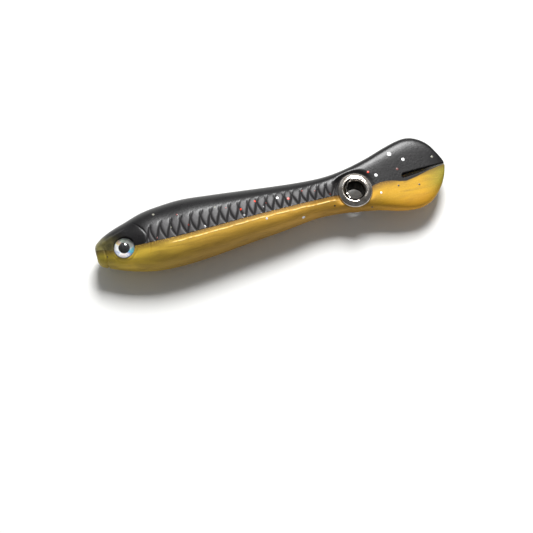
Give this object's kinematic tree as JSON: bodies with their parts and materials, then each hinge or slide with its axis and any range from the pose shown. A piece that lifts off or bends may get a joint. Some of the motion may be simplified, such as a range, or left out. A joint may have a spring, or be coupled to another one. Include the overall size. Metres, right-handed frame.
{
  "type": "soft swimbait",
  "caption": "Soft two-colour swimbait fishing lure with a black back, gold belly, domed foil eyes, a split paddle tail and a metal eyelet through the tail root.",
  "frame": {"origin": "centre of the bounding box, on the surface that the right flank rests on", "axes": "+X from the nose to the tail, +Y from the belly to the back, +Z out of the left flank"},
  "size_m": [0.104, 0.0216, 0.013],
  "materials": {
    "black_plastisol": "soft gloss",
    "gold_plastisol": "pearl",
    "adhesive_pad": "foam",
    "iris_foil": "hologram foil",
    "pupil_print": "print",
    "clear_dome": "clear",
    "nickel_plate": "polished nickel"
  },
  "bodies": {
    "head": {"head_back": "black_plastisol", "head_belly": "gold_plastisol", "eye_pad_left": "adhesive_pad", "eye_iris_left": "iris_foil", "eye_pupil_left": "pupil_print", "eye_dome_left": "clear_dome", "eye_pad_right": "adhesive_pad", "eye_iris_right": "iris_foil", "eye_pupil_right": "pupil_print", "eye_dome_right": "clear_dome"},
    "mid": {"mid_back": "black_plastisol", "mid_belly": "gold_plastisol"},
    "tail": {"tail_back": "black_plastisol", "tail_belly": "gold_plastisol", "eyelet_barrel": "nickel_plate", "eyelet_washer": "nickel_plate"},
    "upper_lobe": {"upper_lobe": "black_plastisol"},
    "lower_lobe": {"lower_lobe": "gold_plastisol"}
  },
  "joints": [
    {"name": "body_bend", "type": "hinge", "parent": "head", "child": "mid", "pos_m": [-0.011, 0, 0.0065], "axis": [0, 1, 0], "range_deg": [-20, 20], "stiffness_Nm_per_rad": 0.04},
    {"name": "tail_kick", "type": "hinge", "parent": "mid", "child": "tail", "pos_m": [0.013, 0, 0.0065], "axis": [0, 1, 0], "range_deg": [-30, 30], "stiffness_Nm_per_rad": 0.02},
    {"name": "upper_lobe_flutter", "type": "hinge", "parent": "tail", "child": "upper_lobe", "pos_m": [0.0425, 0.005, 0.0065], "axis": [0, 1, 0], "range_deg": [-20, 20], "stiffness_Nm_per_rad": 0.002},
    {"name": "lower_lobe_flutter", "type": "hinge", "parent": "tail", "child": "lower_lobe", "pos_m": [0.0425, -0.005, 0.0065], "axis": [0, 1, 0], "range_deg": [-20, 20], "stiffness_Nm_per_rad": 0.002}
  ]
}
